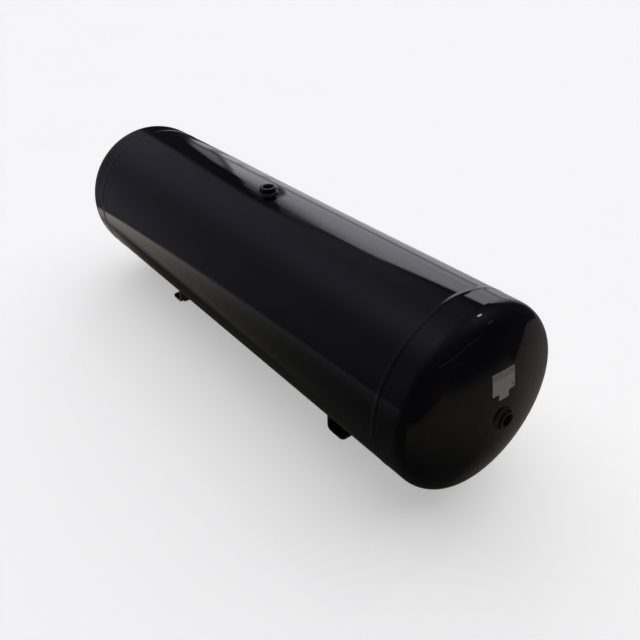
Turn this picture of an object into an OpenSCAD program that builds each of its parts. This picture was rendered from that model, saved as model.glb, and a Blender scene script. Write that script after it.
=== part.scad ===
// Horizontal pressure tank on two bent-plate feet, painted steel, in millimetres.
// The tank lies along X with its labelled front end at +X, and stands on the floor at Z = 0.

/* [Tank] */
// Outside diameter of the shell and of the heads
tank_d = 305; // [240:1:420]
// Length of the rolled shell between its two square ends
shell_l = 906; // [600:1:1500]
// Wall of the shell and of the heads
wall = 3; // [2:0.5:5]

/* [Heads] */
// Straight flange of a head, from its shoulder to the knuckle
flange_l = 38; // [25:1:60]
// Outside knuckle radius
knuckle_r = 38; // [24:1:60]
// Outside crown radius
crown_r = 330; // [260:1:450]
// Length of the offset lip that slips into the shell
lip_l = 18; // [10:1:30]
// Clearance between the lip and the inside of the shell
lip_gap = 0.2; // [0.1:0.1:0.5]

/* [Seams] */
// Gap between a shell end and a head's shoulder, filled by the girth weld
girth_root = 3; // [2:0.5:5]
// Width of the girth weld's cap
girth_cap_w = 11; // [6:0.5:16]
// Height of the girth weld's cap
girth_cap_h = 1; // [0.6:0.1:2.5]
// Distance of the cap's middle from the gap's middle, towards the head
girth_cap_shift = 1.5; // [0:0.5:3]
// Gap between the two edges of the rolled sheet, filled by the long seam weld
seam_root = 2; // [1:0.5:4]
// Width of the long seam weld's cap
seam_cap_w = 6; // [5:0.5:10]
// Height of the long seam weld's cap
seam_cap_h = 0.8; // [0.4:0.1:2]
// Place of the long seam, in degrees from the top towards the hidden side
seam_turn = 140; // [100:1:160]

/* [Ports] */
// Outside diameter of a port bung
port_d = 30; // [24:0.5:50]
// Bore of a port bung at its thread
port_bore = 18; // [12:0.1:22]
// Length of a port bung
port_l = 24; // [20:1:45]
// Chamfer on the rim of a port bung
rim_chamfer = 1.4; // [0.5:0.1:3]
// Chamfer at the mouth of the bore
mouth_chamfer = 0.9; // [0.5:0.1:2]
// Height of the top port above the shell
top_rise = 12; // [8:1:18]
// Height of an end port above the middle of its head
end_rise = 7; // [4:1:18]
// Height of the drain port below the shell
drain_rise = 8; // [5:1:14]
// Clearance of a bung in its hole in the wall
port_gap = 0.1; // [0.05:0.05:0.4]
// Reach of the fillet weld around a bung
port_weld = 4.5; // [3:0.5:8]

/* [Feet] */
// Distance from the shell's end to the web of a foot
foot_inset = 186; // [100:1:280]
// Width of a foot across the tank
foot_w = 170; // [110:1:200]
// Reach of the flange on the floor, measured over the web
foot_reach = 41; // [32:1:70]
// Thickness of the foot's plate
foot_t = 5; // [3:0.5:8]
// Inside radius of the bend
foot_bend = 4; // [3:0.5:8]
// Corner radius at the free edge of the flange
foot_corner = 8; // [3:0.5:12]
// Height of the tank's underside above the floor
foot_clear = 25.5; // [22:0.5:60]
// Diameter of the two bolt holes in each flange
foot_hole_d = 11; // [7:0.5:14]
// Distance from the end of a foot to the middle of its bolt hole
foot_hole_end = 20; // [14:1:30]
// Reach of the fillet welds along the web
foot_weld = 4; // [3:0.5:7]
// Distance from the edge of the web to the end of its welds
foot_weld_end = 6; // [3:1:15]

/* [Label] */
// Width of the label
label_w = 44.5; // [25:0.5:60]
// Height of the label's main field
label_h = 33; // [20:1:45]
// Width of the label's lower tab
label_tab_w = 19; // [10:1:25]
// Height of the label's lower tab
label_tab_h = 10; // [4:0.5:15]
// Height of the label's main field above the tank's axis, at its middle
label_up = 62.5; // [50:0.5:75]
// Distance of the label's middle from the tank's middle plane, towards the viewer
label_side = 3; // [0:0.5:12]
// Turn of the label as it was stuck on, in degrees
label_turn = 2; // [-5:0.5:5]
// Thickness of the label
label_t = 0.4; // [0.2:0.1:1]
// Thickness of the adhesive under the label
label_glue = 0.2; // [0.1:0.1:0.5]

/* [Hidden] */
$fn = 96;
// Facets of the large rounds that small pieces are cut to
smooth = 720;

paint = "#1c1d20";
label_grey = "#b4b2ac";

tank_r = tank_d / 2;
axis_z = tank_r + foot_clear;
// Wall of the bore and seat of a bung
port_r = port_d / 2;
bore_r = port_bore / 2;
port_seat_r = port_r + port_gap;
// Along X: end of the shell, shoulder of the head, tangent line of the knuckle
shell_end = shell_l / 2;
shoulder_x = shell_end + girth_root;
tangent_x = shoulder_x + flange_l;
// Offset lip of a head, inside the shell
lip_r = tank_r - wall - lip_gap;
lip_bore_r = lip_r - wall;
offset_l = 2 * wall;
// Crown sphere of a head: its centre lies this far inside the tangent line
crown_back = sqrt(pow(crown_r - knuckle_r, 2) - pow(tank_r - knuckle_r, 2));
crown_x = tangent_x - crown_back;
apex_x = crown_x + crown_r;
// Foot: web's inner face, and half the angle of its welds
foot_x = shell_end - foot_inset;
foot_weld_half = asin((foot_w / 2 - foot_weld_end) / (tank_r + foot_weld));
// Something longer than the whole tank, for cuts
beyond = 2 * apex_x + tank_d;

// Half profile of a dished end above its tangent line: radius along X, height along Y
module dome_2d(r, k, c) {
    back = sqrt(pow(c - k, 2) - pow(r - k, 2));
    lean = asin((r - k) / (c - k));
    intersection() {
        square([r, c]);
        union() {
            intersection() {
                translate([0, -back]) circle(r = c);
                polygon([[0, -back], [0, 2 * c - back], [2 * c * tan(lean), 2 * c - back]]);
            }
            translate([r - k, 0]) circle(r = k);
        }
    }
}

// Half profile of a head, with its shoulder at height 0 and the lip below it
module head_2d() {
    difference() {
        union() {
            translate([0, flange_l]) dome_2d(tank_r, knuckle_r, crown_r);
            square([tank_r, flange_l]);
            translate([0, -lip_l]) square([lip_r, lip_l]);
        }
        translate([0, flange_l]) dome_2d(tank_r - wall, knuckle_r - wall, crown_r - wall);
        translate([0, offset_l]) square([tank_r - wall, flange_l - offset_l]);
        polygon([[0, 0], [lip_bore_r, 0], [tank_r - wall, offset_l], [0, offset_l]]);
        translate([0, -lip_l]) square([lip_bore_r, lip_l]);
        translate([0, -lip_l]) square([port_seat_r, lip_l + flange_l + crown_r]);
    }
}

// Segment of a round weld cap on a level base: width w, height h
module cap_2d(w, h) {
    cap_r = (pow(w / 2, 2) + pow(h, 2)) / (2 * h);
    intersection() {
        translate([h - cap_r, 0]) circle(r = cap_r);
        translate([0, -w]) square([2 * h, 2 * w]);
    }
}

// Turns a shape that stands along Z so that it lies along the tank's axis
module on_axis(x = 0) {
    translate([x, 0, axis_z]) rotate([0, 90, 0]) children();
}

// Bung with its rim at height 0 and its body below
module bung() {
    rotate_extrude() polygon([
        [bore_r, -port_l],
        [port_r, -port_l],
        [port_r, -rim_chamfer],
        [port_r - rim_chamfer, 0],
        [bore_r + mouth_chamfer, 0],
        [bore_r, -mouth_chamfer]
    ]);
}

// Half profile of the fillet weld around a bung, deep enough below height 0 to be cut to the wall
module bung_weld_2d() {
    sink = port_weld / 2;
    intersection() {
        translate([port_r - sink, -sink]) circle(r = port_weld + sink / 2);
        translate([port_r, -sink]) square([2 * port_weld, sink + port_weld]);
    }
}

// Puts a bung or its weld at the middle of a head, with height 0 at h outside the crown
module at_head(h) {
    translate([apex_x + h, 0, axis_z]) rotate([0, 90, 0]) children();
}

// Solid of the tank's round body, for cutting what sits on the shell
module tank_body() {
    on_axis() cylinder(r = tank_r, h = beyond, center = true, $fn = smooth);
}

module shell() {
    color(paint) difference() {
        on_axis() rotate_extrude() translate([tank_r - wall, -shell_end]) square([wall, shell_l]);
        translate([0, 0, axis_z]) cylinder(r = port_seat_r, h = tank_d);
        translate([0, 0, axis_z - tank_d]) cylinder(r = port_seat_r, h = tank_d);
        translate([0, 0, axis_z]) rotate([-seam_turn, 0, 0])
            translate([-beyond / 2, -seam_root / 2, 0]) cube([beyond, seam_root, tank_d]);
    }
}

module shell_seam_weld() {
    cap_l = shell_l + girth_root + 2 * girth_cap_shift - girth_cap_w;
    color(paint) translate([0, 0, axis_z]) rotate([-seam_turn, 0, 0]) union() {
        intersection() {
            rotate([0, 90, 0]) rotate_extrude() translate([tank_r - wall, -shell_end]) square([wall, shell_l]);
            translate([-beyond / 2, -seam_root / 2, 0]) cube([beyond, seam_root, tank_d]);
        }
        difference() {
            translate([-cap_l / 2, 0, tank_r]) rotate([90, 0, 90]) linear_extrude(height = cap_l)
                rotate([0, 0, 90]) seam_cap_2d();
            rotate([0, 90, 0]) cylinder(r = tank_r, h = beyond, center = true, $fn = smooth);
        }
    }
}

// Cap of the long seam, with a root deep enough to be cut to the round shell
module seam_cap_2d() {
    sink = pow(seam_cap_w, 2) / (4 * tank_d);
    cap_2d(seam_cap_w, seam_cap_h);
    translate([-sink, -seam_cap_w / 2]) square([sink, seam_cap_w]);
}

module head() {
    color(paint) on_axis(shoulder_x) rotate_extrude() head_2d();
}

module front_head() {
    head();
}

module rear_head() {
    mirror([1, 0, 0]) head();
}

// Weld ring that fills the root between shell and head, with a low round cap
module girth_weld() {
    color(paint) on_axis(shell_end + girth_root / 2) rotate_extrude() {
        translate([lip_r, -girth_root / 2]) square([tank_r - lip_r, girth_root]);
        translate([tank_r, girth_cap_shift]) cap_2d(girth_cap_w, girth_cap_h);
    }
}

module front_girth_weld() {
    girth_weld();
}

module rear_girth_weld() {
    mirror([1, 0, 0]) girth_weld();
}

module top_port() {
    color(paint) translate([0, 0, axis_z + tank_r + top_rise]) bung();
}

module top_port_weld() {
    color(paint) difference() {
        translate([0, 0, axis_z + tank_r]) rotate_extrude() bung_weld_2d();
        tank_body();
    }
}

module drain_port() {
    color(paint) translate([0, 0, axis_z - tank_r - drain_rise]) rotate([180, 0, 0]) bung();
}

module drain_port_weld() {
    color(paint) difference() {
        translate([0, 0, axis_z - tank_r]) rotate([180, 0, 0]) rotate_extrude() bung_weld_2d();
        tank_body();
    }
}

module end_port() {
    color(paint) at_head(end_rise) bung();
}

module end_port_weld() {
    color(paint) at_head(0) rotate_extrude() difference() {
        bung_weld_2d();
        translate([0, -crown_r]) circle(r = crown_r, $fn = smooth);
    }
}

module front_port() {
    end_port();
}

module front_port_weld() {
    end_port_weld();
}

module rear_port() {
    mirror([1, 0, 0]) end_port();
}

module rear_port_weld() {
    mirror([1, 0, 0]) end_port_weld();
}

// Outline of the bent plate from its side: web along Y, flange along X, bend between them
module foot_side_2d() {
    outer_bend = foot_bend + foot_t;
    difference() {
        union() {
            translate([0, outer_bend]) square([foot_t, axis_z]);
            translate([outer_bend, 0]) square([foot_reach - outer_bend, foot_t]);
            intersection() {
                translate([outer_bend, outer_bend]) circle(r = outer_bend);
                square(outer_bend);
            }
        }
        translate([outer_bend, outer_bend]) circle(r = foot_bend);
    }
}

// Plan of the foot, with the flange's two free corners rounded
module foot_plan_2d() {
    half_w = foot_w / 2;
    translate([0, -half_w]) square([foot_reach - foot_corner, foot_w]);
    translate([0, foot_corner - half_w]) square([foot_reach, foot_w - 2 * foot_corner]);
    for (side = [-1, 1])
        translate([foot_reach - foot_corner, side * (half_w - foot_corner)]) circle(r = foot_corner);
}

module foot() {
    hole_x = (foot_reach + foot_t + foot_bend) / 2;
    color(paint) translate([foot_x, 0, 0]) difference() {
        intersection() {
            translate([0, foot_w / 2, 0]) rotate([90, 0, 0]) linear_extrude(height = foot_w) foot_side_2d();
            linear_extrude(height = axis_z) foot_plan_2d();
        }
        tank_body();
        for (side = [-1, 1])
            translate([hole_x, side * (foot_w / 2 - foot_hole_end), -foot_t])
                cylinder(d = foot_hole_d, h = 3 * foot_t);
    }
}

// Fillet weld along the curved top of a foot's web, on the side that faces away from x
module foot_bead(x, facing) {
    color(paint) translate([x, 0, axis_z]) rotate([0, 90, 0])
        rotate_extrude(angle = 2 * foot_weld_half, start = -foot_weld_half)
            translate([tank_r, 0]) intersection() {
                circle(r = foot_weld);
                translate([0, facing > 0 ? 0 : -foot_weld]) square(foot_weld);
            }
}

module front_foot() {
    foot();
}

module front_foot_inner_weld() {
    foot_bead(foot_x, -1);
}

module front_foot_outer_weld() {
    foot_bead(foot_x + foot_t, 1);
}

module rear_foot() {
    mirror([1, 0, 0]) foot();
}

module rear_foot_inner_weld() {
    mirror([1, 0, 0]) foot_bead(foot_x, -1);
}

module rear_foot_outer_weld() {
    mirror([1, 0, 0]) foot_bead(foot_x + foot_t, 1);
}

// Thin label that follows the crown of the front head, above the port
module rating_label() {
    color(label_grey) difference() {
        intersection() {
            translate([crown_x, 0, axis_z]) sphere(r = crown_r + label_glue + label_t, $fn = smooth / 2);
            translate([tangent_x, -label_side, axis_z + label_up]) rotate([90, 0, 90])
                rotate([0, 0, -label_turn]) linear_extrude(height = crown_r) label_2d();
        }
        translate([crown_x, 0, axis_z]) sphere(r = crown_r + label_glue, $fn = smooth / 2);
    }
}

module label_2d() {
    translate([-label_w / 2, -label_h / 2]) square([label_w, label_h]);
    translate([-label_tab_w / 2, -label_h / 2 - label_tab_h]) square([label_tab_w, label_tab_h]);
}

shell();
shell_seam_weld();
front_head();
rear_head();
front_girth_weld();
rear_girth_weld();
top_port();
top_port_weld();
drain_port();
drain_port_weld();
front_port();
front_port_weld();
rear_port();
rear_port_weld();
front_foot();
front_foot_inner_weld();
front_foot_outer_weld();
rear_foot();
rear_foot_inner_weld();
rear_foot_outer_weld();
rating_label();
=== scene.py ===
"""Dresses the horizontal pressure tank: gloss paint, weld beads, threaded bungs, feet, label and studio."""

import math

import bmesh
import bpy
from bpy.props import FloatProperty, FloatVectorProperty, PointerProperty
from mathutils import Matrix, Vector, noise


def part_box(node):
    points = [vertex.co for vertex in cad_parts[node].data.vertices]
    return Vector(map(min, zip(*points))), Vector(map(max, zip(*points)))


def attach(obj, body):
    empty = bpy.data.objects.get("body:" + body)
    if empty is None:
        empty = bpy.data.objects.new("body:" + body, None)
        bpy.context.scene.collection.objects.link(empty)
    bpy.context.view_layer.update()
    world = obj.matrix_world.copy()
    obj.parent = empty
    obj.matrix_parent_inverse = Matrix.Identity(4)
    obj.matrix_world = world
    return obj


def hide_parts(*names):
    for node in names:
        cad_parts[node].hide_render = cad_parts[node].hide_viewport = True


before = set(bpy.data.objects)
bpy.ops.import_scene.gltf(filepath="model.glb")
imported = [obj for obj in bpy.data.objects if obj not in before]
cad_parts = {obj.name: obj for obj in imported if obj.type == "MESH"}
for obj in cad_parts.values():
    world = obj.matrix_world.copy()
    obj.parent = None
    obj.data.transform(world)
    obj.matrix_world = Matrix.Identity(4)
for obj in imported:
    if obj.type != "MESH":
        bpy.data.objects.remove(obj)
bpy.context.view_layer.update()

bl_info = {
    "name": "Horizontal pressure tank",
    "version": (1, 0, 0),
    "blender": (4, 5, 0),
    "location": "3D View > Sidebar > Tank",
    "description": "Models the beads, bungs, feet and label of a welded tank and paints it gloss black",
    "category": "Object",
}

MM = 0.001
TINY = 0.001 * MM
SMOOTH_ANGLE = math.radians(32)
# Points across the round top of a weld bead, and steps along one of its scales
BEAD_POINTS = 9
SCALE_STEPS = 6
# Scales in the stretch of a bead that is swept first and then copied along it
SCALES_A_STRETCH = 9
# The camera's axes and place, fitted to the tank's outline
CAMERA_RIGHT = Vector((0.615256, 0.787847, -0.027512))
CAMERA_UP = Vector((-0.427930, 0.363088, 0.827673))
CAMERA_BACK = Vector((0.662069, -0.497457, 0.560536))
CAMERA_PLACE = Vector((0.94823, -0.60538, 0.80937))
CAMERA_SENSOR = 36.0

shell_low, shell_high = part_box("shell")
girth_low, girth_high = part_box("front_girth_weld")
seam_low, seam_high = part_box("shell_seam_weld")
top_low, top_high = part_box("top_port")
foot_low, foot_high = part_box("front_foot")
head_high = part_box("front_head")[1]

tank_radius = (shell_high.y - shell_low.y) / 2
axis_height = (shell_high.z + shell_low.z) / 2
seam_middle = (seam_low + seam_high) / 2


def length(name, description, default):
    """A length in metres for one of the property groups."""
    return FloatProperty(
        name=name, description=description, default=default, unit="LENGTH", precision=5, min=0.0
    )


def share(name, description, default, top=1.0):
    """A number from nothing to a top value for one of the property groups."""
    return FloatProperty(name=name, description=description, default=default, min=0.0, max=top, precision=4)


def colour(name, description, default):
    """A linear colour for one of the property groups."""
    return FloatVectorProperty(
        name=name, description=description, default=default, size=3, subtype="COLOR", min=0.0, max=1.0
    )


def angle(name, description, default):
    """An angle for one of the property groups."""
    return FloatProperty(
        name=name, description=description, default=default, subtype="ANGLE", unit="ROTATION"
    )


class TankSizes(bpy.types.PropertyGroup):
    """Sizes of the tank's beads, bungs, feet and label"""

    tank_radius: length("Tank radius", "Outside radius of the shell and heads", tank_radius)
    axis_height: length("Axis height", "Height of the tank's axis above the floor", axis_height)
    crown_radius: length("Crown radius", "Outside radius of the heads' crowns", 330 * MM)
    girth_width: length("Girth bead width", "Width of the beads round the tank", girth_high.x - girth_low.x)
    girth_height: length(
        "Girth bead height", "Rise of the beads round the tank", girth_high.y - tank_radius - 0.5 * MM
    )
    root_depth: length("Weld root depth", "Depth of a seam's root under the surface", 3 * MM)
    root_width: length("Weld root width", "Width of a seam's root", 3 * MM)
    seam_width: length("Long bead width", "Width of the bead along the shell", 6 * MM)
    seam_height: length("Long bead height", "Rise of the bead along the shell", 0.8 * MM)
    seam_turn: angle(
        "Long seam place", "Turn of the long seam from the top, towards the back",
        math.atan2(seam_middle.y, seam_middle.z - axis_height),
    )
    scale_pitch: length("Bead pitch", "Distance between the scales of a bead", 2.4 * MM)
    scale_rise: length("Bead scale rise", "Rise of the scales of a bead", 0.16 * MM)
    bung_radius: length("Bung radius", "Outside radius of a bung", (top_high.x - top_low.x) / 2)
    bung_length: length("Bung length", "Length of a bung", top_high.z - top_low.z)
    rim_chamfer: length("Rim chamfer", "Chamfer on the rim of a bung", 1.4 * MM)
    thread_root: length("Thread root radius", "Radius of a bung's thread at its root", 9.9 * MM)
    thread_crest: length("Thread crest radius", "Radius of a bung's thread at its crest", 9.0 * MM)
    thread_pitch: length("Thread pitch", "Distance between the turns of a thread", 1.814 * MM)
    port_fillet: length("Bung fillet", "Leg of the bead round a bung", 4.2 * MM)
    foot_plate: length("Foot plate", "Thickness of a foot's plate", 5 * MM)
    foot_bend: length("Foot bend", "Inside radius of a foot's bend", 4 * MM)
    foot_corner: length("Foot corner", "Radius of a foot's free corners", 8 * MM)
    foot_hole: length("Foot hole radius", "Radius of a foot's bolt holes", 5.5 * MM)
    foot_hole_end: length("Foot hole place", "Distance of a bolt hole from the foot's end", 20 * MM)
    foot_edge: length("Foot edge", "Rounding of a foot's sheared edges", 0.7 * MM)
    foot_fillet: length("Foot fillet", "Leg of the beads along a foot", 4 * MM)
    foot_fillet_end: length("Foot fillet end", "Distance of a bead's end from the foot's edge", 6 * MM)
    label_width: length("Label width", "Width of the label", 44.5 * MM)
    label_height: length("Label height", "Height of the label's main field", 33 * MM)
    tab_height: length("Label tab height", "Height of the label's lower tab", 10 * MM)
    label_up: length("Label place", "Height of the label's middle above the axis", 62.5 * MM)
    label_side: length("Label side", "Distance of the label's middle from the middle plane", 3 * MM)
    label_turn: angle("Label turn", "Turn of the label as it was stuck on", math.radians(2))
    label_film: length("Label film", "Thickness of the label", 0.4 * MM)
    label_glue: length("Label glue", "Thickness of the glue under the label", 0.2 * MM)


class TankFinish(bpy.types.PropertyGroup):
    """Colours and gloss of the tank's paint, steel and label"""

    paint: colour("Paint", "Colour of the gloss black paint", (0.0016, 0.0016, 0.0020))
    bead_paint: colour("Bead paint", "Colour of the dull paint on the small beads", (0.014, 0.0137, 0.014))
    paint_dust: colour("Paint dust", "Colour of the thin dust on the paint", (0.012, 0.0115, 0.011))
    bare_steel: colour("Bare steel", "Colour of steel where the paint is rubbed off", (0.20, 0.195, 0.19))
    gloss: share("Paint roughness", "Roughness of the paint where it is clean", 0.02)
    smudge: share("Smudge", "Roughness that wiped patches add", 0.025)
    steel: colour("Thread steel", "Colour of the oiled steel in the bungs", (0.030, 0.029, 0.028))
    film: colour("Label film", "Colour of the label", (0.205, 0.197, 0.184))
    film_band: colour("Label band", "Colour of the label's header band", (0.155, 0.155, 0.157))
    film_rule: colour("Label rule", "Colour of the label's plain rules", (0.055, 0.055, 0.06))


class StudioSetup(bpy.types.PropertyGroup):
    """Floor, light and camera of the studio"""

    floor: colour("Floor", "Colour of the floor", (0.86, 0.86, 0.85))
    backdrop: colour("Backdrop", "Colour behind the tank", (0.90, 0.90, 0.89))
    floor_glow: share("Floor glow", "Light that comes up through the floor", 0.50)
    sun: share("Light", "Strength of the broad light from above", 1.55, 10.0)
    sun_spread: angle("Light spread", "Width of the broad light from above", math.radians(110))
    lens: FloatProperty(name="Lens", description="Focal length of the camera", default=37.384, unit="CAMERA")


class Value:
    """A socket of a shader tree. Arithmetic on it adds Math nodes, and node adds any other node."""

    def __init__(self, tree, socket=None):
        self.tree = tree
        self.socket = socket

    def node(self, kind, settings=None, inputs=None, out=0):
        """Adds a node: settings first, then the values or links of its sockets. Gives one of its outputs."""
        made = self.tree.nodes.new(kind)
        for key, setting in (settings or {}).items():
            setattr(made, key, setting)
        for key, value in (inputs or {}).items():
            if isinstance(value, Value):
                self.tree.links.new(value.socket, made.inputs[key])
            else:
                made.inputs[key].default_value = value
        return Value(self.tree, made.outputs[out]) if made.outputs else Value(self.tree)

    def maths(self, operation, *values):
        return self.node("ShaderNodeMath", {"operation": operation}, dict(enumerate(values)))

    def __add__(self, other):
        return self.maths("ADD", self, other)

    def __radd__(self, other):
        return self.maths("ADD", other, self)

    def __sub__(self, other):
        return self.maths("SUBTRACT", self, other)

    def __rsub__(self, other):
        return self.maths("SUBTRACT", other, self)

    def __mul__(self, other):
        return self.maths("MULTIPLY", self, other)

    def __rmul__(self, other):
        return self.maths("MULTIPLY", other, self)

    def __truediv__(self, other):
        return self.maths("DIVIDE", self, other)

    def __lt__(self, other):
        return self.maths("LESS_THAN", self, other)

    def __gt__(self, other):
        return self.maths("GREATER_THAN", self, other)

    def size(self):
        return self.maths("ABSOLUTE", self)

    def exp(self):
        return self.maths("EXPONENT", self)

    def at_least(self, low):
        return self.maths("MAXIMUM", self, low)

    def at_most(self, high):
        return self.maths("MINIMUM", self, high)

    def rise(self, low, high):
        """0 below low, 1 above high, with a smooth step between them."""
        return self.node(
            "ShaderNodeMapRange", {"interpolation_type": "SMOOTHSTEP"},
            {0: self, 1: low, 2: high, 3: 0.0, 4: 1.0},
        )

    def between(self, low, high, soft):
        """1 between low and high, with soft edges."""
        return self.rise(low - soft, low + soft) * (1 - self.rise(high - soft, high + soft))

    def noise(self, scale, detail=2.0, roughness=0.5):
        """Noise on this vector, with features of about 1 / scale metres."""
        return self.node(
            "ShaderNodeTexNoise", None,
            {"Vector": self, "Scale": scale, "Detail": detail, "Roughness": roughness},
        )

    def stretched(self, scale):
        """This vector with its three parts scaled."""
        return self.node("ShaderNodeMapping", {"vector_type": "POINT"}, {"Vector": self, "Scale": scale})

    def bump(self, distance, strength=1.0, over=None):
        """The normal of a surface with this height, over another bump's normal if there is one."""
        inputs = {"Strength": strength, "Distance": distance, "Height": self}
        if over is not None:
            inputs["Normal"] = over
        return self.node("ShaderNodeBump", None, inputs)

    def mix(self, low, high):
        """Colour low where this is 0 and high where it is 1."""
        return self.node(
            "ShaderNodeMix", {"data_type": "RGBA"},
            {"Factor": self, 6: as_colour(low), 7: as_colour(high)}, out=2,
        )

    def split(self):
        """The three parts of this vector."""
        parts = self.tree.nodes.new("ShaderNodeSeparateXYZ")
        self.tree.links.new(self.socket, parts.inputs[0])
        return [Value(self.tree, part) for part in parts.outputs]


def as_colour(value):
    """A colour with its alpha, or the socket itself."""
    return value if isinstance(value, Value) else (*value[:3], 1.0)


def new_finish(name):
    """A new material: its shader, and the object coordinates that its patterns read."""
    material = bpy.data.materials.new(name)
    material.use_nodes = True
    tree = material.node_tree
    shader = tree.nodes["Principled BSDF"]
    start = Value(tree)
    return material, shader, start, start.node("ShaderNodeTexCoord", out="Object")


def connect(shader, name, value):
    """Links a varying value to one of the shader's sockets."""
    value.tree.links.new(value.socket, shader.inputs[name])


def black_paint(name, finish, tone, peel, waves, dull):
    """Gloss black paint: orange peel, slight waves of the sheet, wiped smudges and thin dust."""
    material, shader, start, place = new_finish(name)
    smudge = place.noise(9.0, 4.0, 0.6).rise(0.45, 0.75)
    streak = place.stretched((3.0, 40.0, 40.0)).noise(2.0, 3.0)
    speck = place.noise(900.0, 1.0).rise(0.70, 0.80)
    normal = start.node("ShaderNodeNewGeometry", out="Normal")
    up = normal.split()[2].rise(0.2, 1.0)
    dust = (speck * 0.30 + streak.rise(0.5, 0.8) * 0.10 + smudge * 0.10) * (up * 0.7 + 0.3)
    connect(shader, "Base Color", dust.mix(tone, finish.paint_dust))
    connect(shader, "Roughness", finish.gloss + dull + smudge * finish.smudge + speck * 0.05)
    broad = place.stretched((5.0, 9.0, 9.0)).noise(1.0, 1.0)
    waved = (broad + streak * 0.04).bump(waves)
    connect(shader, "Normal", place.noise(420.0, 2.0).bump(peel, over=waved))
    shader.inputs["IOR"].default_value = 1.5
    return material


def worn_paint(name, finish, peel, dull):
    """The same paint on small parts, rubbed to steel along the edges that the wear attribute marks."""
    material, shader, start, place = new_finish(name)
    wear = start.node("ShaderNodeAttribute", {"attribute_name": "wear"}, out="Fac")
    chip = (wear * place.noise(700.0, 3.0)).rise(0.36, 0.50)
    smudge = place.noise(30.0, 4.0).rise(0.4, 0.8)
    connect(shader, "Base Color", chip.mix(finish.paint, finish.bare_steel))
    connect(shader, "Metallic", chip)
    connect(shader, "Roughness", finish.gloss + dull + smudge * finish.smudge + chip * 0.25)
    connect(shader, "Normal", place.noise(500.0, 2.0).bump(peel))
    shader.inputs["IOR"].default_value = 1.5
    return material


def oiled_steel(name, finish):
    """Dark oiled steel of the cut threads."""
    material, shader, _, place = new_finish(name)
    grime = place.noise(260.0, 4.0).rise(0.35, 0.70)
    connect(shader, "Base Color", grime.mix(finish.steel, [part * 0.35 for part in finish.steel]))
    connect(shader, "Roughness", 0.30 + grime * 0.25)
    connect(shader, "Normal", place.noise(1500.0).bump(0.05 * MM, strength=0.6))
    shader.inputs["Metallic"].default_value = 0.6
    return material


def label_film(name, finish, sizes):
    """Pale satin film with a header band and plain rules, drawn on the label's own map in metres."""
    material, shader, start, place = new_finish(name)
    across, up, _ = start.node("ShaderNodeUVMap", {"uv_map": "film"}).split()
    soft = 0.1 * MM
    header_foot = sizes.label_height / 2 - 9.1 * MM
    header = up.rise(header_foot - soft, header_foot + soft)
    margin = sizes.label_width / 2 - 2.3 * MM
    inside = 1 - across.size().rise(margin - soft, margin + soft)
    rule = up.between(6.7 * MM, 7.6 * MM, soft)
    for middle in (3.2, -1.2, -5.6, -10.0):
        rule = rule + up.between((middle - 0.45) * MM, (middle + 0.45) * MM, soft) * inside * 0.22
    cells = across.between(15.5 * MM, 20.0 * MM, soft) * up.between(-12.0 * MM, -8.2 * MM, soft) * 0.8
    heading = up.between(9.8 * MM, 13.6 * MM, soft) * 0.4
    for left, right in ((-19.5, -12.0), (-9.0, -2.5), (1.0, 5.0), (9.0, 19.0)):
        cells = cells + across.between(left * MM, right * MM, soft) * heading
    ink = (rule + cells).at_most(1.0)
    age = place.noise(160.0, 4.0)
    film = header.mix(finish.film, finish.film_band)
    aged = (age.rise(0.4, 0.8) * 0.35).mix(film, [part * 0.78 for part in finish.film])
    connect(shader, "Base Color", ink.mix(aged, finish.film_rule))
    connect(shader, "Roughness", 0.42 + age * 0.15)
    connect(shader, "Normal", place.noise(900.0).bump(0.04 * MM, strength=0.5))
    return material


def finish_piece(bm, name, materials, nodes, weighted=False):
    """Makes a bmesh a piece that rides on the tank and stands for its CAD nodes."""
    bmesh.ops.remove_doubles(bm, verts=bm.verts, dist=1e-7)
    bmesh.ops.recalc_face_normals(bm, faces=bm.faces)
    for face in bm.faces:
        face.smooth = True
    for edge in bm.edges:
        if len(edge.link_faces) == 2 and edge.calc_face_angle() > SMOOTH_ANGLE:
            edge.smooth = False
    mesh = bpy.data.meshes.new(name)
    bm.to_mesh(mesh)
    bm.free()
    for material in materials:
        mesh.materials.append(material)
    piece = bpy.data.objects.new(name, mesh)
    bpy.context.scene.collection.objects.link(piece)
    if weighted:
        normals = piece.modifiers.new("Weighted normals", "WEIGHTED_NORMAL")
        normals.keep_sharp = True
    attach(piece, "root")
    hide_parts(*nodes)
    return piece


def outline_of(bm, points):
    """A closed outline of vertices and edges."""
    verts = [bm.verts.new(point) for point in points]
    edges = [bm.edges.new(pair) for pair in zip(verts, verts[1:] + verts[:1])]
    return verts, edges


def lathe(bm, profile, steps):
    """Spins a closed profile of (radius, height) points once round Z."""
    verts, edges = outline_of(bm, [(radius, 0.0, height) for radius, height in profile])
    bmesh.ops.spin(
        bm, geom=verts + edges, cent=(0, 0, 0), axis=(0, 0, 1), angle=math.tau, steps=steps, use_merge=True
    )


def scale_count(run, sizes):
    """How many scales fill a bead of this length, in whole stretches of SCALES_A_STRETCH."""
    return max(1, round(run / (sizes.scale_pitch * SCALES_A_STRETCH))) * SCALES_A_STRETCH


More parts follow.
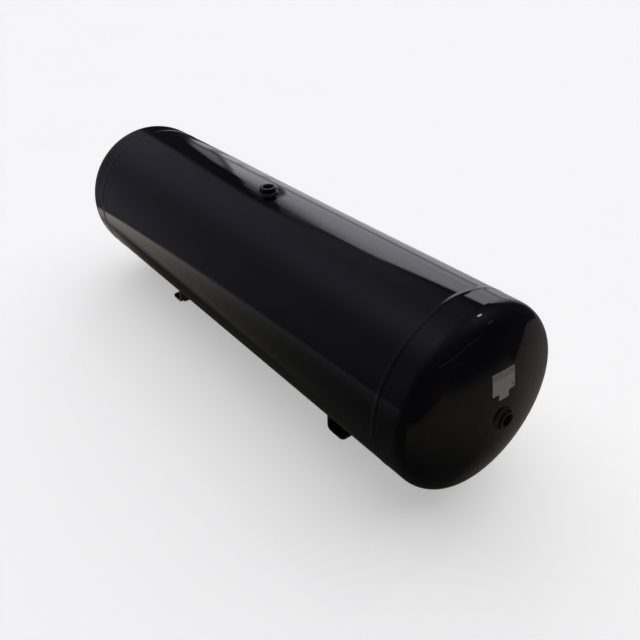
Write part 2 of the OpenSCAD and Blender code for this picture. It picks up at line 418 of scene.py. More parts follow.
def sweep(bm, points, count, turn=0.0, travel=0.0):
    """Sweeps a closed outline round or along Z for so many scales: one stretch, then copies of it."""
    stretches = count // SCALES_A_STRETCH
    steps = SCALES_A_STRETCH * SCALE_STEPS
    verts, edges = outline_of(bm, points)
    bmesh.ops.spin(
        bm, geom=verts + edges, cent=(0, 0, 0), axis=(0, 0, 1), angle=turn / stretches,
        dvec=(0, 0, travel / (stretches * steps)), steps=steps,
    )
    if stretches > 1:
        bmesh.ops.spin(
            bm, geom=[*bm.verts, *bm.edges, *bm.faces], cent=(0, 0, 0), axis=(0, 0, 1),
            angle=turn / stretches * (stretches - 1), dvec=(0, 0, travel / stretches), steps=stretches - 1,
            use_duplicate=True,
        )
    bmesh.ops.remove_doubles(bm, verts=bm.verts, dist=0.002 * MM)
    bmesh.ops.holes_fill(bm, edges=[edge for edge in bm.edges if edge.is_boundary], sides=0)


def round_edges(bm, least_turn, offset):
    """Rounds the edges where the surface turns by more than an angle."""
    sharp = [edge for edge in bm.edges if edge.calc_face_angle(0.0) > least_turn]
    bmesh.ops.bevel(
        bm, geom=sharp, offset=offset, offset_type="OFFSET", segments=2, profile=0.5, affect="EDGES",
        clamp_overlap=True, material=-1,
    )


def scales(along, across, pitch):
    """Height of a bead's scales, 0 to 1: crescents that trail towards its edges."""
    phase = (along / pitch + 0.45 * across * across) % 1.0
    return math.sqrt(max(0.0, 1.0 - (2.0 * phase - 1.0) ** 2))


def bead_height(along, across, sizes):
    """What a hand on the torch adds to a smooth bead: its scales and a slow swell."""
    swell = noise.noise(Vector((along * 55.0, 3.7, 0.0)))
    shape = scales(along, across, sizes.scale_pitch) * sizes.scale_rise + swell * sizes.scale_rise * 0.6
    return shape * (1.0 - across * across)


def round_cap(width, height, points=BEAD_POINTS):
    """Points (across, up) of a low round bead on a level base."""
    radius = ((width / 2) ** 2 + height**2) / (2 * height)
    spots = [width * (step / (points - 1) - 0.5) for step in range(points)]
    return [(spot, math.sqrt(radius**2 - spot**2) - radius + height) for spot in spots]


def washed_cap(width, height, points=13):
    """Points (across, up) of a wide low bead that runs out flat at both toes."""
    spots = [step / (points - 1) - 0.5 for step in range(points)]
    return [(width * spot, height * (0.5 + 0.5 * math.cos(math.tau * spot))) for spot in spots]


def axis_frame(x, sizes):
    """Turns a shape made round Z so that it lies on the tank's axis, with its start at the bottom."""
    return Matrix.Translation((x, 0, sizes.axis_height)) @ Matrix.Rotation(math.pi / 2, 4, "Y")


def mirrored(bm):
    """Mirrors a finished shape to the tank's rear end."""
    bmesh.ops.scale(bm, vec=(-1, 1, 1), verts=bm.verts)
    bmesh.ops.reverse_faces(bm, faces=bm.faces)


class PaintTank(bpy.types.Operator):
    """Paints the shell and the two heads gloss black"""

    bl_idname = "tank.paint_tank"
    bl_label = "Paint tank"

    def execute(self, context):
        finish = context.scene.tank_finish
        paint = black_paint(
            "tank_gloss_black", finish, finish.paint, peel=0.003 * MM, waves=0.3 * MM, dull=0.0
        )
        for node in ("shell", "front_head", "rear_head"):
            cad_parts[node].data.materials[0] = paint
        return {"FINISHED"}


class GirthWelds(bpy.types.Operator):
    """Makes the two weld beads round the tank, between the shell and the heads"""

    bl_idname = "tank.girth_welds"
    bl_label = "Girth welds"

    def execute(self, context):
        sizes = context.scene.tank_sizes
        sink = 0.2 * MM
        base = sizes.tank_radius - sink
        count = scale_count(math.tau * sizes.tank_radius, sizes)
        half_root = sizes.root_width / 2
        half = sizes.girth_width / 2
        deep = sizes.tank_radius - sizes.root_depth
        middle = (girth_low.x + girth_high.x) / 2
        root = shell_high.x + half_root - middle
        cap = washed_cap(sizes.girth_width, sizes.girth_height)
        profile = [(deep, root - half_root), (base, root - half_root), (base, -half)]
        profile += [(sizes.tank_radius + up, across) for across, up in cap]
        profile += [(base, half), (base, root + half_root), (deep, root + half_root)]
        finish = context.scene.tank_finish
        material = black_paint("weld_gloss_black", finish, finish.paint, peel=0.02 * MM, waves=0.0, dull=0.03)
        for name, side in (("front_girth_weld", 1), ("rear_girth_weld", -1)):
            bm = bmesh.new()
            sweep(bm, [(radius, 0.0, along) for radius, along in profile], count, turn=math.tau)
            for vert in bm.verts:
                radius = math.hypot(vert.co.x, vert.co.y)
                if radius < sizes.tank_radius - sink / 2:
                    continue
                along = math.atan2(vert.co.y, vert.co.x) / math.tau * count * sizes.scale_pitch
                across = vert.co.z / half
                vert.co.z += noise.noise(Vector((along * 40.0, 0.0, 8.1))) * 0.25 * MM
                grown = (radius + bead_height(along, across, sizes) * 0.45) / radius
                vert.co.x *= grown
                vert.co.y *= grown
            bmesh.ops.transform(bm, matrix=axis_frame(middle, sizes), verts=bm.verts)
            if side < 0:
                mirrored(bm)
            finish_piece(bm, name + "_bead", [material], [name])
        return {"FINISHED"}


class SeamWeld(bpy.types.Operator):
    """Makes the long weld bead that closes the rolled shell"""

    bl_idname = "tank.seam_weld"
    bl_label = "Long seam weld"

    def execute(self, context):
        sizes = context.scene.tank_sizes
        start, end = -girth_low.x, girth_low.x
        count = scale_count(end - start, sizes)
        sink = 0.2 * MM
        half, half_root = sizes.seam_width / 2, sizes.root_width / 3
        cap = round_cap(sizes.seam_width, sizes.seam_height)
        profile = [(-half_root, -sizes.root_depth), (-half_root, -sink), (-half, -sink), *cap]
        profile += [(half, -sink), (half_root, -sink), (half_root, -sizes.root_depth)]
        bm = bmesh.new()
        sweep(bm, [(-up, across, start) for across, up in profile], count, travel=end - start)
        for vert in bm.verts:
            up, across, along = -vert.co.x, vert.co.y / half, vert.co.z
            if up < -sink / 2:
                continue
            up += bead_height(along / (end - start) * count * sizes.scale_pitch, across, sizes)
            weave = noise.noise(Vector((along * 30.0, 5.0, 1.0))) * 0.3 * MM
            vert.co = (-up, vert.co.y + weave, along)
        place = Matrix.Translation((0, 0, sizes.axis_height)) @ Matrix.Rotation(-sizes.seam_turn, 4, "X")
        lie_down = Matrix.Translation((0, 0, sizes.tank_radius)) @ Matrix.Rotation(math.pi / 2, 4, "Y")
        bmesh.ops.transform(bm, matrix=place @ lie_down, verts=bm.verts)
        finish_piece(
            bm, "shell_seam_bead", [bpy.data.materials["weld_gloss_black"]], ["shell_seam_weld"]
        )
        return {"FINISHED"}


def port_frames(sizes):
    """Each port's name with its rim frame, and how far the tank's wall drops away beside its axis."""

    def shell_drop(x, y):
        return sizes.tank_radius - math.sqrt(sizes.tank_radius**2 - y * y)

    def crown_drop(x, y):
        return sizes.crown_radius - math.sqrt(sizes.crown_radius**2 - x * x - y * y)

    up = Matrix.Identity(4)
    down = Matrix.Rotation(math.pi, 4, "X")
    front = Matrix.Rotation(math.pi / 2, 4, "Y")
    rear = Matrix.Rotation(-math.pi / 2, 4, "Y")
    turns = {
        "top_port": (up, shell_drop, Vector((0, 0, sizes.axis_height + sizes.tank_radius))),
        "drain_port": (down, shell_drop, Vector((0, 0, sizes.axis_height - sizes.tank_radius))),
        "front_port": (front, crown_drop, Vector((head_high.x, 0, sizes.axis_height))),
        "rear_port": (rear, crown_drop, Vector((-head_high.x, 0, sizes.axis_height))),
    }
    places = []
    for name, (turn, drop, wall) in turns.items():
        low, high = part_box(name)
        outward = turn.to_3x3() @ Vector((0, 0, 1))
        middle = (low + high) / 2
        reach = (high - low).dot(Vector(map(abs, outward))) / 2
        places.append((name, Matrix.Translation(middle + outward * reach) @ turn, drop, wall, turn))
    return places


class PortBungs(bpy.types.Operator):
    """Makes the four bungs with a cut thread in each bore"""

    bl_idname = "tank.port_bungs"
    bl_label = "Port bungs"

    ridge_steps = 40

    def thread(self, bm, sizes):
        """Winds one sharp ridge up the bore, run out to nothing at both ends."""
        pitch = sizes.thread_pitch
        clear_end, clear_ends = 0.4 * MM, 1.6 * MM
        bottom = clear_end - sizes.bung_length
        turns = int((sizes.bung_length - clear_ends) / pitch)
        base = sizes.thread_root + 0.05 * MM
        section = [(base, 0.0), (base, 0.92), (sizes.thread_crest, 0.53), (sizes.thread_crest, 0.39)]
        verts, edges = outline_of(bm, [(radius, 0.0, bottom + part * pitch) for radius, part in section])
        face = bm.faces.new(verts)
        before = set(bm.verts) - set(verts)
        bmesh.ops.spin(
            bm, geom=[*verts, *edges, face], cent=(0, 0, 0), axis=(0, 0, 1),
            dvec=(0, 0, pitch / self.ridge_steps), angle=math.tau * turns, steps=turns * self.ridge_steps,
        )
        for vert in set(bm.verts) - before:
            radius = math.hypot(vert.co.x, vert.co.y)
            if radius > base - 0.2 * MM:
                continue
            done = (vert.co.z - bottom) / pitch - 0.46
            left = min(max(min(done, turns - done) / 0.4, 0.0), 1.0)
            grown = (base + (radius - base) * left) / radius
            vert.co.x *= grown
            vert.co.y *= grown

    def execute(self, context):
        sizes = context.scene.tank_sizes
        finish = context.scene.tank_finish
        paint = worn_paint("port_gloss_black", finish, peel=0.01 * MM, dull=0.08)
        steel = oiled_steel("thread_oiled_steel", finish)
        lead = 0.35 * MM
        profile = [
            (sizes.thread_root, -sizes.bung_length),
            (sizes.bung_radius, -sizes.bung_length),
            (sizes.bung_radius, -sizes.rim_chamfer),
            (sizes.bung_radius - sizes.rim_chamfer, 0.0),
            (sizes.thread_root + lead, 0.0),
            (sizes.thread_root, -lead),
        ]
        for name, place, *_ in port_frames(sizes):
            bm = bmesh.new()
            lathe(bm, profile, 72)
            round_edges(bm, math.radians(20), 0.25 * MM)
            self.thread(bm, sizes)
            for face in bm.faces:
                middle = face.calc_center_median()
                face.material_index = int(math.hypot(middle.x, middle.y) < sizes.thread_root + 0.06 * MM)
            bmesh.ops.transform(bm, matrix=place, verts=bm.verts)
            finish_piece(bm, name + "_bung", [paint, steel], [name])
        return {"FINISHED"}


class PortWelds(bpy.types.Operator):
    """Makes the bead round each bung, fitted to the wall that it sits on"""

    bl_idname = "tank.port_welds"
    bl_label = "Port welds"

    def execute(self, context):
        sizes = context.scene.tank_sizes
        leg, bung = sizes.port_fillet, sizes.bung_radius
        sink, bite = 1.4 * MM, 0.3 * MM
        count = scale_count(math.tau * (bung + leg / 2), sizes)
        bulge = leg * 1.9
        radius = math.hypot(bulge, bulge + leg)
        first, last = math.atan2(bulge + leg, bulge), math.atan2(bulge, bulge + leg)
        arc = []
        for step in range(BEAD_POINTS):
            turn = first + (last - first) * step / (BEAD_POINTS - 1)
            arc.append((bung - bulge + radius * math.cos(turn), -bulge + radius * math.sin(turn)))
        profile = [(bung - bite, -sink), (bung - bite, leg), *arc]
        profile += [(bung + leg, -bite), (bung + leg - sink, -sink)]
        finish = context.scene.tank_finish
        material = black_paint(
            "bead_satin_black", finish, finish.bead_paint, peel=0.02 * MM, waves=0.0, dull=0.36
        )
        for name, _, drop, wall, turn in port_frames(sizes):
            bm = bmesh.new()
            sweep(bm, [(radius, 0.0, up) for radius, up in profile], count, turn=math.tau)
            for vert in bm.verts:
                x, y, z = vert.co
                flat = math.hypot(x, y)
                if z > -bite / 2 and flat > bung - bite / 2:
                    lean = math.atan2(z + bulge, flat - bung + bulge)
                    across = (2 * lean - first - last) / (first - last)
                    along = math.atan2(y, x) / math.tau * count * sizes.scale_pitch
                    grown = bead_height(along, across, sizes) * 1.3
                    flat_grown = (flat + grown * math.cos(lean)) / flat
                    x, y, z = x * flat_grown, y * flat_grown, z + grown * math.sin(lean)
                vert.co = (x, y, z - drop(x, y))
            bmesh.ops.transform(bm, matrix=Matrix.Translation(wall) @ turn, verts=bm.verts)
            finish_piece(bm, name + "_bead", [material], [name + "_weld"])
        return {"FINISHED"}


class BentFeet(bpy.types.Operator):
    """Bends the two feet from plate: drilled flange, bend, and a web cut to the tank"""

    bl_idname = "tank.bent_feet"
    bl_label = "Bent feet"

    columns = 48
    hole_steps = 32
    corner_steps = 8
    floor_wear = 0.68
    edge_wear = 0.45
    worn_turn = math.radians(18)

    def flange(self, bm, sizes, start, end, half):
        """Fills the drilled flange between the bend line and its free edge, and gives it thickness."""
        corner = sizes.foot_corner
        points = [(start, half * (2 * step / self.columns - 1)) for step in range(self.columns + 1)]
        for middle, first in (((end - corner, half - corner), 90), ((end - corner, corner - half), 0)):
            for step in range(self.corner_steps + 1):
                turn = math.radians(first - 90 * step / self.corner_steps)
                points.append((middle[0] + corner * math.cos(turn), middle[1] + corner * math.sin(turn)))
        edges = outline_of(bm, [(x, y, 0.0) for x, y in points])[1]
        hole_x = (end + start) / 2
        for side in (-1, 1):
            hole_y = side * (half - sizes.foot_hole_end)
            made = bmesh.ops.create_circle(
                bm, cap_ends=False, radius=sizes.foot_hole, segments=self.hole_steps,
                matrix=Matrix.Translation((hole_x, hole_y, 0.0)),
            )
            edges += list({edge for vert in made["verts"] for edge in vert.link_edges})
        filled = bmesh.ops.triangle_fill(bm, use_beauty=True, use_dissolve=False, edges=edges)
        faces = [item for item in filled["geom"] if isinstance(item, bmesh.types.BMFace)]
        raised = bmesh.ops.extrude_face_region(bm, geom=faces)["geom"]
        verts = [item for item in raised if isinstance(item, bmesh.types.BMVert)]
        bmesh.ops.translate(bm, vec=(0, 0, sizes.foot_plate), verts=verts)

    def execute(self, context):
        sizes = context.scene.tank_sizes
        paint = worn_paint("foot_gloss_black", context.scene.tank_finish, peel=0.02 * MM, dull=0.04)
        half = (foot_high.y - foot_low.y) / 2
        outer = sizes.foot_plate + sizes.foot_bend
        start = foot_low.x + outer
        for name, side in (("front_foot", 1), ("rear_foot", -1)):
            bm = bmesh.new()
            self.flange(bm, sizes, start, foot_high.x, half)
            ends = [face for face in bm.faces if all(abs(vert.co.x - start) < TINY for vert in face.verts)]
            bent = bmesh.ops.spin(
                bm, geom=ends, cent=(start, 0, outer), axis=(0, 1, 0), angle=math.pi / 2, steps=8
            )["geom_last"]
            tops = [item for item in bent if isinstance(item, bmesh.types.BMFace)]
            raised = bmesh.ops.extrude_face_region(bm, geom=tops)["geom"]
            for vert in raised:
                if isinstance(vert, bmesh.types.BMVert):
                    vert.co.z = sizes.axis_height - math.sqrt(sizes.tank_radius**2 - vert.co.y**2)
            bmesh.ops.delete(bm, geom=[face for face in tops if face.is_valid], context="FACES_ONLY")
            bmesh.ops.remove_doubles(bm, verts=bm.verts, dist=TINY)
            bmesh.ops.recalc_face_normals(bm, faces=bm.faces)
            round_edges(bm, math.radians(50), sizes.foot_edge)
            wear = bm.verts.layers.float.new("wear")
            for vert in bm.verts:
                turned = max((edge.calc_face_angle(0.0) for edge in vert.link_edges), default=0.0)
                rubbed = self.floor_wear if vert.co.z < sizes.foot_plate + TINY else self.edge_wear
                vert[wear] = rubbed if turned > self.worn_turn else 0.0
            if side < 0:
                mirrored(bm)
            finish_piece(bm, name + "_plate", [paint], [name], weighted=True)
        return {"FINISHED"}


class FootWelds(bpy.types.Operator):
    """Makes the beads along both faces of each foot's web"""

    bl_idname = "tank.foot_welds"
    bl_label = "Foot welds"

    def execute(self, context):
        sizes = context.scene.tank_sizes
        leg, base, bite = sizes.foot_fillet, sizes.tank_radius, 0.3 * MM
        half_width = (foot_high.y - foot_low.y) / 2 - sizes.foot_fillet_end
        half_turn = math.asin(half_width / (base + leg))
        count = scale_count(2 * half_turn * base, sizes)
        material = bpy.data.materials["bead_satin_black"]
        arc = []
        for step in range(BEAD_POINTS):
            turn = math.pi / 2 * step / (BEAD_POINTS - 1)
            arc.append((base + leg * math.cos(turn) * 0.97, leg * math.sin(turn) * 0.97))
        profile = [(base - bite, -bite), (base + leg, -bite), *arc, (base - bite, leg)]
        webs = {"inner": (foot_low.x, -1), "outer": (foot_low.x + sizes.foot_plate, 1)}
        for end, flip in (("front", 1), ("rear", -1)):
            for face_name, (web, facing) in webs.items():
                bm = bmesh.new()
                first = Matrix.Rotation(-half_turn, 3, "Z")
                points = [first @ Vector((radius, 0.0, out)) for radius, out in profile]
                sweep(bm, points, count, turn=2 * half_turn)
                for vert in bm.verts:
                    radius = math.hypot(vert.co.x, vert.co.y)
                    turn = math.atan2(vert.co.y, vert.co.x)
                    if radius < base - bite / 2 or vert.co.z < -bite / 2:
                        continue
                    lean = math.atan2(vert.co.z, radius - base)
                    along = turn * base
                    reach = math.hypot(radius - base, vert.co.z)
                    reach += bead_height(along, 4 * lean / math.pi - 1, sizes) * 1.4
                    ends = min((half_turn - abs(turn)) * base / (3 * MM), 1.0)
                    reach *= 0.55 + 0.45 * math.sqrt(max(ends, 0.0))
                    grown = base + reach * math.cos(lean)
                    vert.co = (grown * math.cos(turn), grown * math.sin(turn), reach * math.sin(lean))
                if facing < 0:
                    bmesh.ops.scale(bm, vec=(1, 1, -1), verts=bm.verts)
                    bmesh.ops.reverse_faces(bm, faces=bm.faces)
                bmesh.ops.transform(bm, matrix=axis_frame(web, sizes), verts=bm.verts)
                if flip < 0:
                    mirrored(bm)
                node = f"{end}_foot_{face_name}_weld"
                finish_piece(bm, node.replace("weld", "bead"), [material], [node])
        return {"FINISHED"}


class RatingLabel(bpy.types.Operator):
    """Makes the blank label that follows the front head's crown"""

    bl_idname = "tank.rating_label"
    bl_label = "Blank label"

    columns = 21
    tab_columns = 9
    rows = 16
    tab_rows = 5

    def execute(self, context):
        sizes = context.scene.tank_sizes
        half_w, half_h = sizes.label_width / 2, sizes.label_height / 2
        bm = bmesh.new()
        bmesh.ops.create_grid(bm, x_segments=self.columns, y_segments=self.rows, size=1.0)
        bmesh.ops.scale(bm, vec=(half_w, half_h, 1.0), verts=bm.verts)
        pitch = sizes.label_width / self.columns
        reach = (self.tab_columns / 2) * pitch + TINY
        lower = [
            edge for edge in bm.edges
            if all(vert.co.y < TINY - half_h and abs(vert.co.x) < reach for vert in edge.verts)
        ]
        for _ in range(self.tab_rows):
            made = bmesh.ops.extrude_edge_only(bm, edges=lower)["geom"]
            verts = [item for item in made if isinstance(item, bmesh.types.BMVert)]
            lower = [item for item in made if isinstance(item, bmesh.types.BMEdge)]
            bmesh.ops.translate(bm, vec=(0, -sizes.tab_height / self.tab_rows, 0), verts=verts)
        bmesh.ops.recalc_face_normals(bm, faces=bm.faces)
        corners = [vert for vert in bm.verts if len(vert.link_faces) == 1]
        bmesh.ops.bevel(
            bm, geom=corners, offset=1.2 * MM, offset_type="OFFSET", segments=4, profile=0.5,
            affect="VERTICES", clamp_overlap=True, material=-1,
        )
        chart = bm.loops.layers.uv.new("film")
        for face in bm.faces:
            for loop in face.loops:
                loop[chart].uv = loop.vert.co.xy
        if bm.faces[:][0].normal.z < 0:
            bmesh.ops.reverse_faces(bm, faces=bm.faces)
        raised = bmesh.ops.extrude_face_region(bm, geom=bm.faces[:])["geom"]
        outside = {item for item in raised if isinstance(item, bmesh.types.BMVert)}
        crown_x = head_high.x - sizes.crown_radius
        cos_turn, sin_turn = math.cos(-sizes.label_turn), math.sin(-sizes.label_turn)
        for vert in bm.verts:
            across, up, _ = vert.co
            y = across * cos_turn - up * sin_turn - sizes.label_side
            z = across * sin_turn + up * cos_turn + sizes.label_up
            lift = sizes.label_glue + sizes.label_film if vert in outside else 0.05 * MM
            radius = sizes.crown_radius + lift
            vert.co = (crown_x + math.sqrt(radius**2 - y * y - z * z), y, sizes.axis_height + z)
        film = label_film("label_satin_film", context.scene.tank_finish, sizes)
        finish_piece(bm, "rating_label_film", [film], ["rating_label"])
        return {"FINISHED"}


class Room:
    """The dim room that the paint mirrors, by a ray's azimuth and elevation in degrees."""

    def __init__(self, start):
        self.start = start
        self.ray = start.node("ShaderNodeTexCoord", out="Generated")
        x, y, z = self.ray.split()
        self.up = z.maths("ARCSINE", z) * math.degrees(1)
        self.turn = y.maths("ARCTAN2", y, x) * math.degrees(1)
        self.around = self.turn + (y < 0.0) * 360.0
        self.cloud = 0.82 + self.ray.noise(4.0, 3.0) * 0.36

    def towards(self, azimuth, elevation):
        """Cosine of the angle between the ray and a direction."""
        aim = Vector((1, 0, 0))
        aim.rotate(Matrix.Rotation(-math.radians(elevation), 3, "Y"))
        aim.rotate(Matrix.Rotation(math.radians(azimuth), 3, "Z"))
        return self.ray.node(
            "ShaderNodeVectorMath", {"operation": "DOT_PRODUCT"}, {0: self.ray, 1: aim}, out="Value"
        )

    def bell(self, azimuth, elevation, sharpness):
        """A soft glow round a direction."""
        return ((self.towards(azimuth, elevation) - 1) * sharpness).exp()

    def spot(self, azimuth, elevation, inner, outer):
        """A disc round a direction: 1 within the inner angle, 0 past the outer one."""
        edge, core = math.cos(math.radians(outer)), math.cos(math.radians(inner))
        return self.towards(azimuth, elevation).rise(edge, core)

    def haze(self):
        """Weak light from the walls, held back from the dark stretch beside the doorway."""
        up, bell = self.up, self.bell
        glow = 0.016 + bell(188, 41, 8.5) * 0.165 + bell(200, -8, 20.0) * 0.120 + bell(208, 56, 20.0) * 0.10
        glow = (glow + bell(170, 14, 20.0) * 0.09 + bell(226, 12, 14.0) * 0.075) * up.rise(-38, -14)
        shade = self.around.between(148, 161.5, 2.5) * up.between(-2, 37, 5)
        near_floor = 0.012 * (1 - up.rise(-30, -16)) + bell(222, -34, 10.0) * 0.025
        overhead = bell(85, 58, 15.0) * 0.13 + bell(0, 90, 6.0) * 0.06
        return glow * (1 - shade * 0.88) + 0.010 + near_floor + overhead

    def doorway(self):
        """The bright doorway behind the tank, with its lintel, jamb and bars, and more light at its foot."""
        up, around = self.up, self.around
        lintel = up - 35 + (141.5 - around).at_least(0.0) * 0.42
        climb = (up - 5).at_least(0.0) / 29
        bend = around - climb * climb * 17
        off_line = (bend - 140.6).size() - climb * 1.1
        past_jamb = bend - 146.3 + climb * 1.7
        line = 1 - 0.90 * (1 - off_line.rise(0.0, 0.6)) * up.rise(3, 8)
        jamb = 1 - 0.55 * (1 - past_jamb.size().rise(0.2, 0.9))
        beyond = 1 - past_jamb.rise(-0.6, 0.2) * (0.2 + 0.45 * up.rise(1, 4))
        low_streaks = around.between(141.3, 141.9, 0.3) + around.between(143.7, 144.3, 0.3)
        panes = line * jamb * beyond * (1 - 0.30 * low_streaks * (1 - up.rise(1, 4)))
        low_side = around - 148.2 - 0.16 * (up - 2).at_least(0.0)
        high_side = bend - 143.8
        side = low_side + (high_side - low_side) * up.rise(18, 24)
        opening = (1 - lintel.rise(-1.2, 1.2)) * around.rise(103, 124) * (1 - side.rise(-0.6, 0.6))
        dims = 1 - up.rise(14, 24) * around.rise(137, 159)
        foot_light = 0.45 * (1 - up.rise(-18, -8)) * around.rise(124, 138)
        low_left = (1 - up.rise(-14, -6)) * (1 - around.rise(120, 134)) * 0.18
        level = 0.64 + 0.26 * up.rise(4, 9) + 0.38 * up.rise(12, 26) + 0.12 * up.between(-7, 1, 2)
        level = (level + foot_light - low_left) * up.rise(-34, -27)
        off_bar = up - 2.2 - (around - 128) * 0.1
        upper_bar = 1 - 0.60 * off_bar.between(-1.1, 1.1, 0.4)
        lower_bar = 1 - 0.35 * up.between(-12.0, -10.6, 0.4) * around.rise(129, 134)
        return opening * panes * dims * level * upper_bar * lower_bar * self.cloud

    def floor_strip(self):
        """The lit strip of floor along the tank's near side, brightest at its far edge."""
        around = self.around
        past_bend = (around - 210).at_least(0.0)
        tilt = ((around - 196) * 0.42).at_least(-5.6)
        depth = tilt - past_bend * past_bend * 0.0035 - 23 - self.up
        reach = 1.4 + 5.6 * around.rise(188, 201)
        fade = (depth.at_least(0.0) / reach * -1).exp()
        soft = 1 + 2.5 * around.rise(204, 222)
        strip = (depth / soft).rise(-0.7, 0.9) * fade * around.rise(160, 172)
        return strip * (0.78 - 0.62 * around.rise(200, 228)) * (1 - around.rise(228, 262))

    def apron(self):
        """The dull floor in front of the labelled end."""
        up, turn = self.up, self.turn
        climb = ((turn - 52).at_least(0.0) * 0.65).at_most(10.0)
        past_edge = up + 16 + 3 * turn.rise(44, 52) - climb + 5 * turn.rise(80, 94)
        near_fade = (up + 9 * turn.rise(50, 90)).rise(-62, -28)
        blur = 6 - 4.4 * turn.rise(40, 52)
        shape = (1 - (past_edge / blur).rise(-1, 1)) * turn.between(-70, 122, 10) * near_fade * self.cloud
        return shape * (0.082 + 0.022 * turn.rise(0, 15)) * (1 + 0.35 * self.bell(72, -24, 24.0))

    def tone(self):
        """All the room's lights, each with its tint."""
        up, turn = self.up, self.turn
        warm = 1 - up.rise(-24, -8)
        ceiling = self.bell(150, 38, 40.0) * 0.08 * up.rise(33, 37)
        rail = turn.between(-40, 30, 10) * (up + turn * 0.20).between(32.8, 34.4, 0.6) * 0.22
        lights = (
            (self.haze(), (1.0, 0.955, 1.25 - warm * 0.35)),
            (ceiling, (1.0, 0.95, 1.05)),
            (self.doorway(), (1.0, 0.985, 1.08 - warm * 0.10)),
            (self.floor_strip(), (1.0, 0.965, 0.89)),
            (self.apron(), (1.0, 0.93, 0.80)),
            (self.bell(352, 4, 15.0), (0.038, 0.023, 0.018)),
            (rail, (1.0, 1.0, 1.1)),
            (self.spot(100, 57, 2.2, 3.6) * 7.0, (1.0, 1.0, 1.0)),
            (self.spot(52, 40, 1.0, 5.0) * 0.35, (0.5, 0.6, 1.0)),
        )
        parts = {}
        for part in range(3):
            parts[part] = 0.0
            for light, tint in lights:
                parts[part] = parts[part] + light * tint[part]
        return self.start.node("ShaderNodeCombineColor", None, parts)


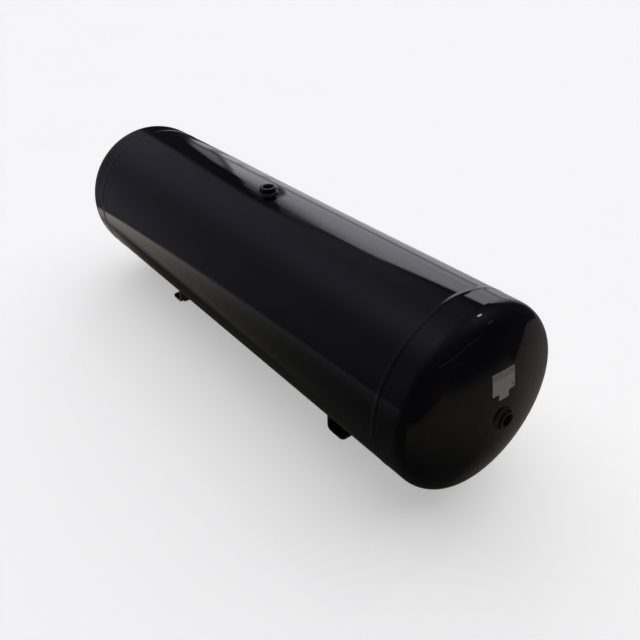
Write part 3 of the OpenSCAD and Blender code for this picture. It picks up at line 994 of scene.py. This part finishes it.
class Studio(bpy.types.Operator):
    """Lays the floor, sets the soft light and the camera"""

    bl_idname = "tank.studio"
    bl_label = "Studio"

    def floor(self, setup, sizes):
        bm = bmesh.new()
        bmesh.ops.create_grid(bm, x_segments=2, y_segments=2, size=40.0)
        mesh = bpy.data.meshes.new("floor")
        bm.to_mesh(mesh)
        bm.free()
        material, shader, _, place = new_finish("floor_pale")
        tone = place.noise(1.5, 3.0).rise(0.3, 0.7)
        shade = [part * 0.985 for part in setup.floor]
        connect(shader, "Base Color", tone.mix(setup.floor, shade))
        x, y, _ = place.split()
        from_middle, from_axis = x.size(), y.size()
        # Painted shadow: the floor's glow is switched off under the feet, so the floor seen through their
        # bolt holes is dark
        side = foot_high.y - sizes.foot_corner
        under_feet_painted_shadow = (from_middle > foot_low.x) * (from_middle < foot_high.x) * (from_axis < side)
        connect(shader, "Emission Color", under_feet_painted_shadow.mix(setup.floor, (0.0, 0.0, 0.0)))
        shader.inputs["Emission Strength"].default_value = setup.floor_glow
        shader.inputs["Roughness"].default_value = 0.9
        shader.inputs["Specular IOR Level"].default_value = 0.1
        mesh.materials.append(material)
        floor = bpy.data.objects.new("floor", mesh)
        floor.visible_glossy = False
        bpy.context.scene.collection.objects.link(floor)

    def surroundings(self, setup):
        """Shows a pale backdrop to the camera and the dim room to the paint."""
        world = bpy.data.worlds.new("studio_room")
        bpy.context.scene.world = world
        world.use_nodes = True
        tree = world.node_tree
        tree.nodes.clear()
        start = Value(tree)
        room = start.node("ShaderNodeBackground", None, {"Color": Room(start).tone(), "Strength": 1.0})
        pale = start.node("ShaderNodeBackground", None, {"Color": as_colour(setup.backdrop), "Strength": 1.0})
        seen = start.node("ShaderNodeLightPath", out="Is Camera Ray")
        both = start.node("ShaderNodeMixShader", None, {0: seen, 1: room, 2: pale})
        start.node("ShaderNodeOutputWorld", None, {"Surface": both})

    def execute(self, context):
        setup = context.scene.tank_studio
        self.floor(setup, context.scene.tank_sizes)
        self.surroundings(setup)
        light = bpy.data.lights.new("broad_light", "SUN")
        light.energy = setup.sun
        light.angle = setup.sun_spread
        sun = bpy.data.objects.new("broad_light", light)
        sun.rotation_euler = (math.radians(-22), math.radians(-16), 0.0)
        sun.visible_glossy = False
        context.scene.collection.objects.link(sun)
        camera_data = bpy.data.cameras.new("camera")
        camera_data.lens = setup.lens
        camera_data.sensor_width = CAMERA_SENSOR
        camera_data.clip_start = 0.01
        camera_data.clip_end = 200.0
        camera = bpy.data.objects.new("camera", camera_data)
        stand = Matrix((CAMERA_RIGHT, CAMERA_UP, CAMERA_BACK)).transposed().to_4x4()
        camera.matrix_world = Matrix.Translation(CAMERA_PLACE) @ stand
        context.scene.collection.objects.link(camera)
        context.scene.camera = camera
        context.scene.view_settings.view_transform = "Standard"
        return {"FINISHED"}


class TankPanel(bpy.types.Panel):
    """Lists the tank's pieces in the sidebar"""

    bl_idname = "TANK_PT_pieces"
    bl_label = "Pressure tank"
    bl_space_type = "VIEW_3D"
    bl_region_type = "UI"
    bl_category = "Tank"

    def draw(self, context):
        for operator in OPERATORS:
            self.layout.operator(operator.bl_idname)
        for group in (context.scene.tank_sizes, context.scene.tank_finish, context.scene.tank_studio):
            box = self.layout.box()
            for name in group.bl_rna.properties.keys():
                if name not in ("rna_type", "name"):
                    box.prop(group, name)


GROUPS = {"tank_sizes": TankSizes, "tank_finish": TankFinish, "tank_studio": StudioSetup}
OPERATORS = (
    PaintTank, GirthWelds, SeamWeld, PortBungs, PortWelds, BentFeet, FootWelds, RatingLabel, Studio
)


def register():
    for cls in (*GROUPS.values(), *OPERATORS, TankPanel):
        bpy.utils.register_class(cls)
    for name, cls in GROUPS.items():
        setattr(bpy.types.Scene, name, PointerProperty(type=cls))


def unregister():
    for name in GROUPS:
        delattr(bpy.types.Scene, name)
    for cls in reversed((*GROUPS.values(), *OPERATORS, TankPanel)):
        bpy.utils.unregister_class(cls)


def main():
    register()
    bpy.ops.tank.paint_tank()
    bpy.ops.tank.girth_welds()
    bpy.ops.tank.seam_weld()
    bpy.ops.tank.port_bungs()
    bpy.ops.tank.port_welds()
    bpy.ops.tank.bent_feet()
    bpy.ops.tank.foot_welds()
    bpy.ops.tank.rating_label()
    bpy.ops.tank.studio()


if __name__ == "__main__":
    main()
